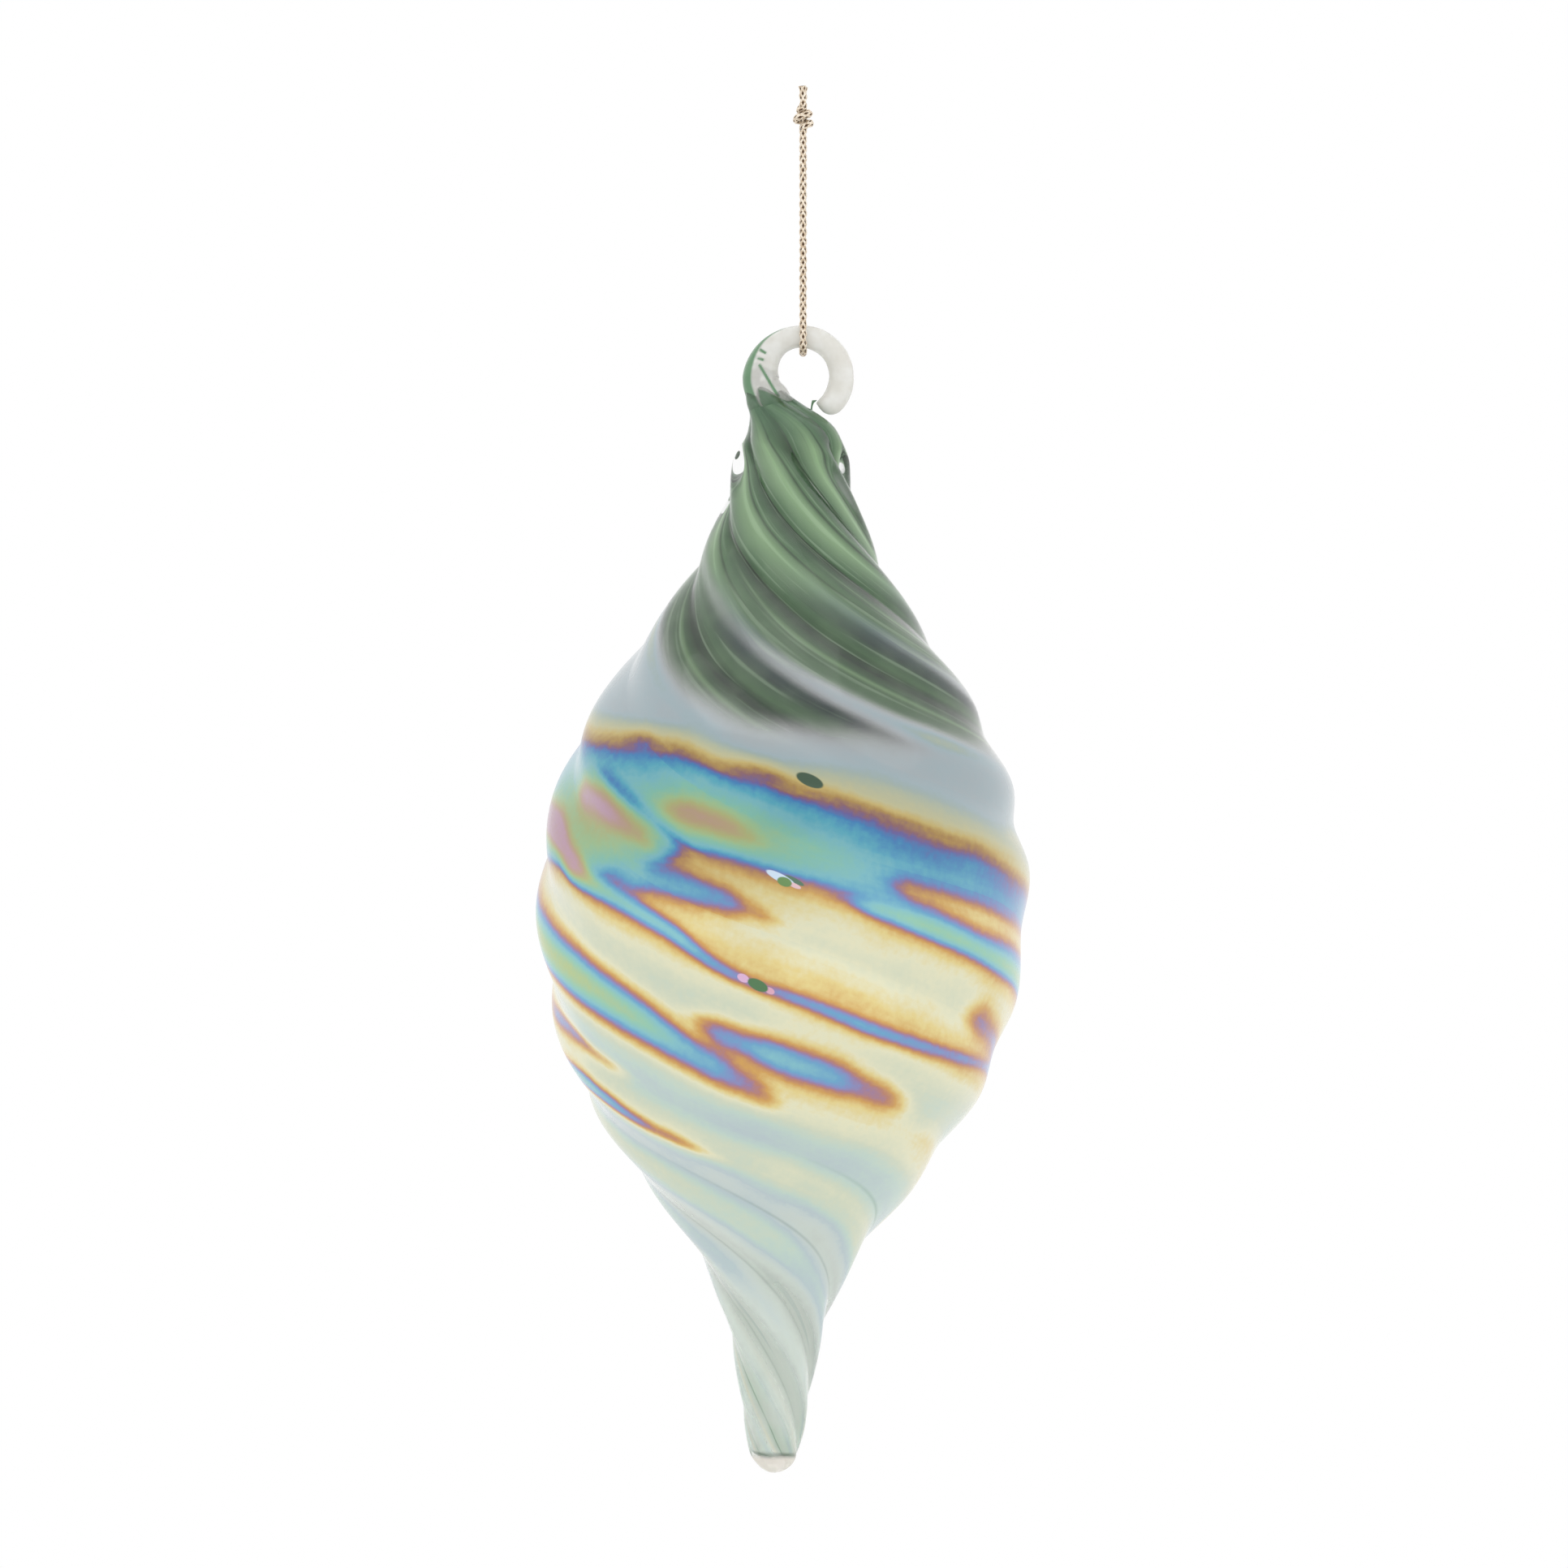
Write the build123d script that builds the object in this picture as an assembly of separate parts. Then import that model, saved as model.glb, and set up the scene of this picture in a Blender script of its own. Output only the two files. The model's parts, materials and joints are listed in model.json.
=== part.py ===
"""Icicle hanging ornament: a twisted, ribbed blown-glass spindle on a braided cord loop.

Millimetres, +Z up, the front faces -Y. The origin is the hang point, the inside top of
the cord loop, at the underside of the cord's knot. The glass is drawn upright on its
own axis, with its tip at zero, and then tilted and moved to where it hangs.
"""
from build123d import *
from math import cos, degrees, pi, radians, sin, sqrt
import os

# ---- Cord -----------------------------------------------------------------
CORD_DIAMETER = 1.2
HANG_DROP = 32.4            # hang point down to the centre of the hook's rod
CORD_BEND_RADIUS = 2.5      # centreline of the bight round the rod
LEG_SPACING_AT_KNOT = 0.65  # centreline of each leg from the loop's middle
LEG_TOP_GAP = 0.1           # clearance under the knot, where the loop turns

KNOT_RADIUS = 1.65
KNOT_HEIGHT = 3.6
KNOT_END_RADIUS = 1.3
TAIL_LENGTH = 3.0
TAIL_SPLAY = 9.0            # degrees, each tail from the vertical

# ---- Glass body -----------------------------------------------------------
BODY_HEIGHT = 167.6         # tip to the top of the shoulder dome
SHOULDER_RADIUS = 7.4       # the dome that closes the neck
TIP_CAP = 5.0               # height of the rounded end of the tip
TIP_X = -4.6
TIP_Z = -209.9
BODY_TILT = 1.0             # degrees about Y

RIB_COUNT = 6
# Crest and valley, each from the mean radius, at heights above the tip.
RIB_DEPTH = [(0, 0.25), (20, 0.35), (40, 0.6), (90, 0.8), (130, 0.75), (157, 1.0), (163, 0.8), (168, 0.5)]

CASING_WALL = 1.5           # clear outer layer, at the mean radius
CORE_WALL = 0.8             # coloured inner layer
CORE_TOP_MARGIN = 2.0       # clear glass over the core's top
CORE_TIP_MARGIN = 2.4       # solid clear glass below the core

# Mean radius of the body at heights above the tip.
OUTLINE = [
    (0, 3.0), (4, 4.0), (8, 4.7), (16, 5.9), (21, 6.9), (25, 8.0), (34, 12.1), (45, 20.5), (56, 28.5),
    (68, 34.3), (80, 37.1), (91, 37.9), (103, 36.2), (114, 32.4), (125, 25.8),
    (136, 17.9), (142, 14.1), (148, 11.2), (153, 9.4), (157, 8.6), (162, 7.7), (168, 7.0),
]
# Height at which a rib has turned by so many degrees, going down from the neck.
TWIST = [
    (0, 712), (6, 660), (29, 540), (56, 420), (71, 360), (91, 300), (107, 240),
    (122, 180), (136, 120), (150, 60), (168, -20),
]

# ---- Hook -----------------------------------------------------------------
RING_X = -0.3
RING_RADIUS = 6.3           # centreline of the curled rod
RING_Z = -HANG_DROP - RING_RADIUS + 0.01
HOOK_END_ANGLE = -57.0      # degrees from +X, where the rod's free end is cut
HOOK_END_ROUND = 0.5
ROD_RADIUS_TOP = 1.8
# Rod radius at angles round the ring, from the free end to the root.
ROD_RADII = [(-57, 1.95), (-20, 1.95), (20, 1.9), (60, 1.8), (115, 1.8), (150, 2.3), (180, 2.85)]
# The root below the ring, as (x, z, radius), flaring down into the shoulder.
ROOT_SECTIONS = [
    (-6.3, -40.2, 3.2), (-5.6, -41.8, 3.8), (-4.6, -43.6, 4.7), (-3.3, -45.8, 5.6), (-2.2, -48.8, 6.0),
]
WHISKER_RADIUS = 0.35       # drawn thread of glass from the rod's end to the shoulder

BODY_ENDS = (0, TIP_CAP, BODY_HEIGHT, SHOULDER_RADIUS)
STRIP_ROWS = 90
STRIP_COLUMNS = 9
BUBBLE_ROWS = 40
END_RADIUS_RATIO = 0.06     # part of an end's radius left as a tiny flat
SURFACE_TOLERANCE = 0.004


# ---- Smooth curves through a few stations ---------------------------------
def slope_at(stations, i):
    """Slope of the curve at station i, from its neighbours."""
    low = stations[max(i - 1, 0)]
    high = stations[min(i + 1, len(stations) - 1)]
    return (high[1] - low[1]) / (high[0] - low[0])


def smooth_at(stations, x):
    """Value at x of the smooth curve through the (x, value) stations."""
    i = 0
    while i < len(stations) - 2 and x > stations[i + 1][0]:
        i += 1
    span = stations[i + 1][0] - stations[i][0]
    start = stations[i][1]
    rise = stations[i + 1][1] - start
    t = (x - stations[i][0]) / span
    s0 = slope_at(stations, i) * span
    s1 = slope_at(stations, i + 1) * span
    return start + t * (s0 + t * (3 * rise - 2 * s0 - s1 + t * (s0 + s1 - 2 * rise)))


# ---- Shape of the body ----------------------------------------------------
def end_rounding(height, low, low_cap, high, high_cap):
    """1 between two ends, falling to 0 as a quarter ellipse of each cap's height."""
    from_low = min((height - low) / low_cap, 1.0)
    from_high = min((high - height) / high_cap, 1.0)
    return sqrt(1 - (1 - from_low) ** 2) * sqrt(1 - (1 - from_high) ** 2)


def eased_heights(low, low_cap, high, high_cap, count):
    """Heights from end to end, close together at the caps, each end left a tiny flat."""
    flat = 1 - sqrt(1 - END_RADIUS_RATIO ** 2)
    start, stop = low + low_cap * flat, high - high_cap * flat
    steps = [i / (count - 1) for i in range(count)]
    eased = [t - 0.9 * sin(2 * pi * t) / (2 * pi) for t in steps]
    return [start + (stop - start) * t for t in eased]


def mean_radius(height):
    return smooth_at(OUTLINE, height)


def skin_point(height, across):
    """Point of the outer skin; across runs round the body in degrees from a crest."""
    ribbed = mean_radius(height) + smooth_at(RIB_DEPTH, height) * cos(radians(RIB_COUNT * across))
    radius = ribbed * end_rounding(height, *BODY_ENDS)
    angle = radians(smooth_at(TWIST, height) + across)
    return Vector(radius * cos(angle), radius * sin(angle), height)


def rib_strip(first_angle):
    """One twisted strip of skin, a rib wide, from the tip to the shoulder."""
    pitch = 360 / RIB_COUNT
    turns = [first_angle + pitch * j / (STRIP_COLUMNS - 1) for j in range(STRIP_COLUMNS)]
    rows = [[skin_point(h, a) for a in turns] for h in eased_heights(*BODY_ENDS, STRIP_ROWS)]
    return Face.make_surface_from_array_of_points(rows, tol=SURFACE_TOLERANCE, min_deg=3, max_deg=5)


def end_cap(strips, at_top):
    """The tiny flat that closes one end of the skin."""
    edges = []
    for strip in strips:
        by_height = strip.edges().sort_by(Axis.Z)
        edges.append(by_height[-1] if at_top else by_height[0])
    return Face(Wire(edges))


def ribbed_skin():
    """The whole outer shape of the body, as a solid."""
    pitch = 360 / RIB_COUNT
    strips = [rib_strip(pitch * (k + 0.5)) for k in range(RIB_COUNT)]
    caps = [end_cap(strips, True), end_cap(strips, False)]
    return Solid(Shell(strips + caps))


def smooth_bubble(inset, low, high):
    """Turned shape that stays so far inside the mean radius, between two heights."""
    ends = (low, mean_radius(low) - inset, high, mean_radius(high) - inset)
    heights = eased_heights(*ends, BUBBLE_ROWS)
    side = [((mean_radius(h) - inset) * end_rounding(h, *ends), 0, h) for h in heights]
    outline = Spline(side)
    outline += Polyline(side[-1], (0, 0, heights[-1]), (0, 0, heights[0]), side[0])
    return revolve(make_face(outline), Axis.Z)


def placed(shape):
    """Moves glass from its own upright axis to where it hangs."""
    return Pos(TIP_X, 0, TIP_Z) * Rot(0, BODY_TILT, 0) * shape


# ---- Hook -----------------------------------------------------------------
def rod_section(x, z, direction, radius):
    """Round section of the hook's rod, square to its direction in the XZ plane."""
    plane = Plane(origin=(x, 0, z), x_dir=(0, 1, 0), z_dir=direction)
    return Wire.make_circle(radius, plane)


def ring_sections():
    """Sections from the free end round the ring to the root."""
    end_turn = degrees(HOOK_END_ROUND / RING_RADIUS)
    angles = [HOOK_END_ANGLE, HOOK_END_ANGLE + end_turn] + [-30 + 21 * i for i in range(11)]
    sections = []
    for angle in angles:
        turn = radians(angle)
        radius = smooth_at(ROD_RADII, angle)
        if angle == HOOK_END_ANGLE:
            radius -= HOOK_END_ROUND
        x = RING_X + RING_RADIUS * cos(turn)
        z = RING_Z + RING_RADIUS * sin(turn)
        sections.append(rod_section(x, z, (-sin(turn), 0, cos(turn)), radius))
    return sections


def root_sections():
    """Sections from under the ring down into the shoulder, each square to the path."""
    before = (RING_X - RING_RADIUS, RING_Z)
    sections = []
    for x, z, radius in ROOT_SECTIONS:
        sections.append(rod_section(x, z, (x - before[0], 0, z - before[1]), radius))
        before = (x, z)
    return sections


def whisker():
    """The thin thread of glass that closes the hook against the shoulder."""
    turn = radians(HOOK_END_ANGLE)
    inner = RING_RADIUS - ROD_RADIUS_TOP / 2
    start = Vector(RING_X + inner * cos(turn), 0, RING_Z + inner * sin(turn))
    end = placed(Pos(0, 0, BODY_HEIGHT - SHOULDER_RADIUS)).position
    along = end - start
    circle = Plane(origin=start, z_dir=along) * Circle(WHISKER_RADIUS)
    return extrude(circle, amount=along.length / 2)


def hanging_hook(body_outside):
    """Clear curled rod with a flared root, fused to the shoulder."""
    rod = Solid.make_loft(ring_sections() + root_sections())
    return (rod + whisker()) - body_outside


# ---- Cord -----------------------------------------------------------------
def cord_route():
    """Corners of the loop's centreline: down one leg, round the rod, up the other."""
    side = CORD_BEND_RADIUS
    low_side = -HANG_DROP - side * sin(radians(30)) / cos(radians(30))
    bottom = -HANG_DROP - side / cos(radians(30))
    top = -LEG_TOP_GAP
    return [
        (0, -LEG_SPACING_AT_KNOT, top),
        (0, -side, low_side),
        (0, 0, bottom),
        (0, side, low_side),
        (0, LEG_SPACING_AT_KNOT, top),
    ]


def cord_loop():
    """Both legs and the bight, as one tube of the cord's thickness."""
    corners = cord_route()
    radii = [0.97 * CORD_BEND_RADIUS] * 3
    path = FilletPolyline(*corners, radius=radii)
    start = Plane(origin=path @ 0, z_dir=path % 0)
    tube = sweep(start * Circle(CORD_DIAMETER / 2), path=path)
    expected = path.length * pi * CORD_DIAMETER ** 2 / 4
    print(f"cord: radii {radii}, length {path.length:.2f} mm")
    print(f"cord: volume {tube.volume:.3f} mm3, section times length {expected:.3f} mm3")
    return tube


def cord_knot():
    """Plain barrel with the size of the pulled-tight overhand knot."""
    half = KNOT_HEIGHT / 2
    bottom_rim = (KNOT_END_RADIUS, 0, 0)
    top_rim = (KNOT_END_RADIUS, 0, KNOT_HEIGHT)
    outline = Polyline(bottom_rim, (0, 0, 0), (0, 0, KNOT_HEIGHT), top_rim)
    outline += ThreePointArc(top_rim, (KNOT_RADIUS, 0, half), bottom_rim)
    return revolve(make_face(outline), Axis.Z)


def cord_tails():
    """The cord's two short ends above the knot, side by side and slightly splayed."""
    tails = []
    for side in (-1, 1):
        foot = Pos(0, side * LEG_SPACING_AT_KNOT, KNOT_HEIGHT) * Rot(-side * TAIL_SPLAY, 0, 0)
        tails.append(foot * Pos(0, 0, TAIL_LENGTH / 2) * Cylinder(CORD_DIAMETER / 2, TAIL_LENGTH))
    return Compound(children=tails)


# ---- Assembly -------------------------------------------------------------
def glass_body():
    """The clear casing, the coloured core inside it, and the casing's outside."""
    outside = ribbed_skin()
    core_low = CORE_TIP_MARGIN
    core_high = BODY_HEIGHT - CORE_TOP_MARGIN
    core_outside = smooth_bubble(CASING_WALL, core_low, core_high)
    core_inside = smooth_bubble(CASING_WALL + CORE_WALL, core_low + CORE_WALL, core_high - CORE_WALL)
    casing = outside - core_outside
    core = core_outside - core_inside
    return placed(casing), placed(core), placed(outside)


def main():
    os.makedirs("parts", exist_ok=True)
    casing, core, outside = glass_body()
    pieces = {
        "clear_casing": casing,
        "green_core": core,
        "hanging_hook": hanging_hook(outside),
        "cord_loop": cord_loop(),
        "cord_knot": cord_knot(),
        "cord_tails": cord_tails(),
    }
    for name, shape in pieces.items():
        export_step(shape, f"parts/{name}.step")


main()
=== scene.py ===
"""Icicle hanging ornament: twisted ribbed blown glass with a lustre film, on a braided cord loop.

Metres, +Z up, the front faces -Y, and the origin is the hang point at the underside of the knot.
Body shapes are worked out in millimetres above the tip and scaled when a mesh is made.
"""
import bpy
import json
from math import atan2, cos, exp, pi, radians, sin, sqrt
from mathutils import Matrix, Vector, noise


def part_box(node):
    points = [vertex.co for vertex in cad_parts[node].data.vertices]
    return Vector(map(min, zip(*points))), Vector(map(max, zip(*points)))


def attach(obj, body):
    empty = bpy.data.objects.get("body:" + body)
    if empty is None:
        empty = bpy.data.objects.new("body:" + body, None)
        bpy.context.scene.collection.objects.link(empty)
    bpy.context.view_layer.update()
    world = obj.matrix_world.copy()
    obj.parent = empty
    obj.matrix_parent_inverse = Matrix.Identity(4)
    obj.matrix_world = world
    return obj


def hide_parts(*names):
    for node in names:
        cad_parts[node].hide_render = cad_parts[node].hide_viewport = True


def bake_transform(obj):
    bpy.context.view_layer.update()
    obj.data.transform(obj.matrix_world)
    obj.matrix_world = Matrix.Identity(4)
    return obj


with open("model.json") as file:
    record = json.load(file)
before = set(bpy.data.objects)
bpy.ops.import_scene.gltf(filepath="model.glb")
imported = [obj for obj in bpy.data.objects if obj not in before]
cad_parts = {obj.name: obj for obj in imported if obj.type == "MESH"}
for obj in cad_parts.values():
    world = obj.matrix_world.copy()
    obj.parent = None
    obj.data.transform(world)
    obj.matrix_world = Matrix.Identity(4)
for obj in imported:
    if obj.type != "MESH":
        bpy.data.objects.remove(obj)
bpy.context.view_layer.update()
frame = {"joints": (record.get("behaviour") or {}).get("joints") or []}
MM = 0.001


# ---- Places taken from the frame ----------------------------------------------
CASING_LOW = Vector(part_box("clear_casing")[0])
KNOT_LOW, KNOT_HIGH = [Vector(corner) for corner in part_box("cord_knot")]
TAILS_HIGH = Vector(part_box("cord_tails")[1])
SWING = next(joint for joint in frame["joints"] if joint["name"] == "ring_swing")
HANG_DROP = -SWING["pos_m"][2]

# ---- Body: driving dimensions, in millimetres ------------------------------------
BODY_HEIGHT = 172.5
HORN_CAP = 3.0
TIP_CAP = 3.6
BODY_TILT = radians(1.0)
TIP = Vector((-0.0046, 0, CASING_LOW.z))
RIB_COUNT = 6
CASING_WALL = 1.5
TIP_WALL = 0.6
CORE_WALL = 0.8
CORE_ENDS = (2.4, 1.4, 168.6, 6.5)      # low end and its cap, high end and its cap
CORE_LEAN = 1.2
CAVITY_INSET = 0.04         # how far the casing's inner surface lies inside the core's skin

# Mean radius at heights above the tip.
OUTLINE = [
    (0, 3.2), (4, 3.8), (8, 4.6), (16, 5.9), (21, 6.9), (25, 8.0), (34, 12.1), (45, 20.5), (56, 28.5),
    (68, 34.3), (80, 37.1), (91, 37.9), (103, 36.2), (114, 32.4), (125, 25.8),
    (136, 17.9), (142, 14.1), (148, 11.2), (153, 9.4), (156.6, 8.4), (160.4, 7.6), (162.9, 6.8),
    (164.2, 6.2), (165.5, 5.35), (166.7, 4.5), (168, 3.6), (169.3, 2.8), (170.5, 2.3), (172.5, 1.9),
]
# Sideways bend of the neck's axis: out to the hook's open side, then back into its root.
LEAN = [
    (0, 0), (152, 0), (156.6, 0), (160.4, 0.15), (161.7, 0.2), (162.9, 0.05), (164.2, -0.45), (165.5, -1.4),
    (166.7, -2.5), (168, -3.5), (169.3, -4.3), (170.5, -4.75), (172.5, -5.0),
]
# Degrees that a rib has turned, counted down from the neck.
TWIST = [
    (0, 712), (6, 660), (29, 540), (56, 420), (71, 360), (91, 300), (107, 240),
    (122, 180), (136, 120), (147.2, 60), (159.2, 0), (168, -38), (172.5, -55),
]
# How far the ribs sag on the front, and lag from the left to the right side.
RIB_SAG = [(0, 0), (35, 0.5), (45, 2.0), (58, 5.0), (75, 5.5), (93, 7.0), (124, 3.7), (144, 0), (172.5, 0)]
RIB_LAG = [
    (0, 0.5), (28, 0.9), (42, 0.6), (57, 2.6), (71, 3.6), (91, 3.4), (107, 1.3), (122, -0.2),
    (136, -0.4), (158, 0.6), (172.5, 1.0),
]
RIB_DEPTH = [
    (0, 0.25), (20, 0.35), (40, 0.6), (90, 0.8), (130, 0.75), (150, 0.85), (156, 1.2), (158.5, 1.2),
    (161.5, 0.4), (164, 0.35), (168, 0.3), (172.5, 0),
]
RIB_SHARPNESS = [(0, 0.3), (30, 0.35), (60, 0.2), (110, 0.15), (130, 0.5), (145, 0.85), (172.5, 0.85)]


# ---- Smooth curves through a few stations ---------------------------------------
def slope_at(stations, i):
    """Slope of the curve at station i, from its neighbours."""
    low = stations[max(i - 1, 0)]
    high = stations[min(i + 1, len(stations) - 1)]
    return (high[1] - low[1]) / (high[0] - low[0])


def smooth_at(stations, x):
    """Value at x of the smooth curve through the (x, value) stations."""
    i = 0
    while i < len(stations) - 2 and x > stations[i + 1][0]:
        i += 1
    span = stations[i + 1][0] - stations[i][0]
    start = stations[i][1]
    rise = stations[i + 1][1] - start
    t = (x - stations[i][0]) / span
    s0 = slope_at(stations, i) * span
    s1 = slope_at(stations, i + 1) * span
    return start + t * (s0 + t * (3 * rise - 2 * s0 - s1 + t * (s0 + s1 - 2 * rise)))


def smoothstep(low, high, x):
    t = min(max((x - low) / (high - low), 0.0), 1.0)
    return t * t * (3 - 2 * t)


def mix(a, b, t):
    return a + (b - a) * t


# ---- Camera ---------------------------------------------------------------------
def add_camera():
    """Level camera in front, framing the whole ornament and its cord."""
    data = bpy.data.cameras.new("camera")
    data.lens = 135
    data.sensor_width = 36
    data.clip_end = 20
    view_width, centre_x, centre_z = 0.245, -0.00298, -0.1023
    distance = view_width * data.lens / data.sensor_width
    camera = bpy.data.objects.new("camera", data)
    bpy.context.collection.objects.link(camera)
    camera.location = (centre_x, -distance, centre_z)
    camera.rotation_euler = (pi / 2, 0, 0)
    bpy.context.scene.camera = camera


# ---- Mesh helpers ---------------------------------------------------------------
def new_object(name, vertices, faces, materials, smooth=True):
    mesh = bpy.data.meshes.new(name)
    mesh.from_pydata(vertices, [], faces)
    for material in materials:
        mesh.materials.append(material)
    mesh.polygons.foreach_set("use_smooth", [smooth] * len(mesh.polygons))
    obj = bpy.data.objects.new(name, mesh)
    bpy.context.collection.objects.link(obj)
    return obj


def add_attribute(obj, name, values):
    """One number at each vertex, for the material to read."""
    layer = obj.data.attributes.new(name, "FLOAT", "POINT")
    layer.data.foreach_set("value", values)


def grid_faces(first, rows, columns):
    """Quads between closed rings of vertices, the ring index growing inwards or upwards."""
    faces = []
    for i in range(rows - 1):
        for j in range(columns):
            k = (j + 1) % columns
            low, high = first + i * columns, first + (i + 1) * columns
            faces.append((low + j, low + k, high + k, high + j))
    return faces


# ---- Cord -----------------------------------------------------------------------
CORD_DIAMETER = 0.0012
BIGHT_RADIUS = 0.0025
LEG_SPACING_AT_KNOT = 0.00065
LEG_TOP_GAP = 0.0001
BRAID_STRANDS = 8
BRAID_PITCH = 0.0058        # one strand's full turn
STRAND_WIDTH = 0.00019      # half widths of a strand's flat section
STRAND_THICKNESS = 0.00010
BRAID_WAVE = 0.00007        # in and out, over and under
CORE_THREAD_RADIUS = 0.00036
STRAND_STANDOUT = 0.00003   # how far the strands stand out of the nominal diameter where they cross over
# The cord inside the knot, in millimetres over the knot's underside: one turn round the other leg ...
KNOT_WRAP = [
    (0, -0.65, 0), (0.1, -0.75, 0.35), (0.95, -0.75, 0.75), (1.15, 0.35, 1.0), (0.2, 1.15, 1.2),
    (-1.1, 0.6, 1.45), (-1.0, -0.75, 1.75), (0.2, -1.2, 2.05), (1.15, -0.4, 2.35), (0.75, 0.8, 2.6),
    (-0.45, 0.75, 2.85), (-0.6, -0.25, 3.15), (0, -0.6, 3.45), (0, -0.65, 3.6),
]
# ... and the leg that it goes round.
KNOT_CORE = [(0, 0.65, 0), (0, 0.45, 0.9), (0, 0.2, 1.8), (0, 0.4, 2.8), (0, 0.65, 3.6)]


def cord_route():
    """Control points: down the front leg, round the rod, up the back leg."""
    side = BIGHT_RADIUS
    low_side = -HANG_DROP - side * sin(pi / 6) / cos(pi / 6)
    bottom = -HANG_DROP - side / cos(pi / 6)
    step = bottom - low_side
    near_ring = low_side - 2 * step
    side_above = side - 0.00015
    return [
        (0, -LEG_SPACING_AT_KNOT, -LEG_TOP_GAP),
        (0, -side_above, near_ring),
        (0, -side, low_side),
        (0, 0, bottom),
        (0, side, low_side),
        (0, side_above, near_ring),
        (0, LEG_SPACING_AT_KNOT, -LEG_TOP_GAP),
    ]


def smooth_line(points, resolution=24):
    """Points of the NURBS spline that has these control points."""
    curve = bpy.data.curves.new("route", "CURVE")
    curve.dimensions = "3D"
    spline = curve.splines.new("NURBS")
    spline.points.add(len(points) - 1)
    for point, place in zip(spline.points, points):
        point.co = (*place, 1)
    spline.order_u = 3
    spline.use_endpoint_u = True
    spline.resolution_u = resolution
    holder = bpy.data.objects.new("route", curve)
    mesh = bpy.data.meshes.new_from_object(holder)
    line = [vertex.co.copy() for vertex in mesh.vertices]
    bpy.data.objects.remove(holder)
    bpy.data.curves.remove(curve)
    bpy.data.meshes.remove(mesh)
    return line


def even_line(line, step):
    """The same line with its points an even step apart."""
    lengths = [0.0]
    for a, b in zip(line, line[1:]):
        lengths.append(lengths[-1] + (b - a).length)
    count = max(int(lengths[-1] / step), 2)
    even, i = [], 0
    for n in range(count + 1):
        target = lengths[-1] * n / count
        while i < len(line) - 2 and lengths[i + 1] < target:
            i += 1
        part = (target - lengths[i]) / max(lengths[i + 1] - lengths[i], 1e-12)
        even.append(line[i].lerp(line[i + 1], part))
    return even


def frames_along(line):
    """Two directions square to the line at each point, carried along without twist."""
    frames = []
    across = Vector((1, 0, 0))
    for i in range(len(line)):
        ahead = (line[min(i + 1, len(line) - 1)] - line[max(i - 1, 0)]).normalized()
        across = (across - ahead * across.dot(ahead)).normalized()
        frames.append((across.copy(), ahead.cross(across)))
    return frames


def add_strand(vertices, faces, line, frames, start_turn, hand):
    """One flat strand of the braid, passing over and under the strands it crosses."""
    sides = 6
    first = len(vertices)
    lay_radius = CORD_DIAMETER / 2 - (STRAND_THICKNESS + BRAID_WAVE - STRAND_STANDOUT)
    run = 0.0
    for i, (point, (u, v)) in enumerate(zip(line, frames)):
        if i:
            run += (point - line[i - 1]).length
        turn = start_turn + hand * 2 * pi * run / BRAID_PITCH
        crossing = BRAID_STRANDS / 2 * turn + (0 if hand > 0 else pi)
        lift = BRAID_WAVE * sin(crossing)
        out = u * cos(turn) + v * sin(turn)
        side = v * cos(turn) - u * sin(turn)
        centre = point + out * (lay_radius + lift)
        for k in range(sides):
            angle = 2 * pi * k / sides
            offset = side * (STRAND_WIDTH * cos(angle)) + out * (STRAND_THICKNESS * sin(angle))
            vertices.append(centre + offset)
    rings = len(line)
    faces += grid_faces(first, rings, sides)
    faces.append(tuple(first + k for k in reversed(range(sides))))
    faces.append(tuple(first + (rings - 1) * sides + k for k in range(sides)))


def add_core_thread(vertices, faces, line, frames):
    """Plain dark thread inside the braid."""
    sides = 8
    first = len(vertices)
    for point, (u, v) in zip(line, frames):
        for k in range(sides):
            angle = 2 * pi * k / sides
            vertices.append(point + (u * cos(angle) + v * sin(angle)) * CORE_THREAD_RADIUS)
    faces += grid_faces(first, len(line), sides)
    faces.append(tuple(first + k for k in reversed(range(sides))))
    faces.append(tuple(first + (len(line) - 1) * sides + k for k in range(sides)))


def braid(name, lines, materials):
    """Braided cord along one or more lines: metallic strands round a dark thread."""
    vertices, faces, slots = [], [], []
    for rough_line in lines:
        line = even_line(rough_line, CORD_DIAMETER * 0.2)
        frames = frames_along(line)
        for n in range(BRAID_STRANDS):
            hand = 1 if n % 2 else -1
            turn = 2 * pi * (n // 2) / (BRAID_STRANDS / 2)
            before = len(faces)
            add_strand(vertices, faces, line, frames, turn, hand)
            slots += [0] * (len(faces) - before)
        before = len(faces)
        add_core_thread(vertices, faces, line, frames)
        slots += [1] * (len(faces) - before)
    obj = new_object(name, vertices, faces, materials)
    obj.data.polygons.foreach_set("material_index", slots)
    return obj


def scaled(points, origin=Vector((0, 0, 0))):
    """Points in millimetres made into metres from an origin."""
    return [origin + Vector(point) * MM for point in points]


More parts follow.
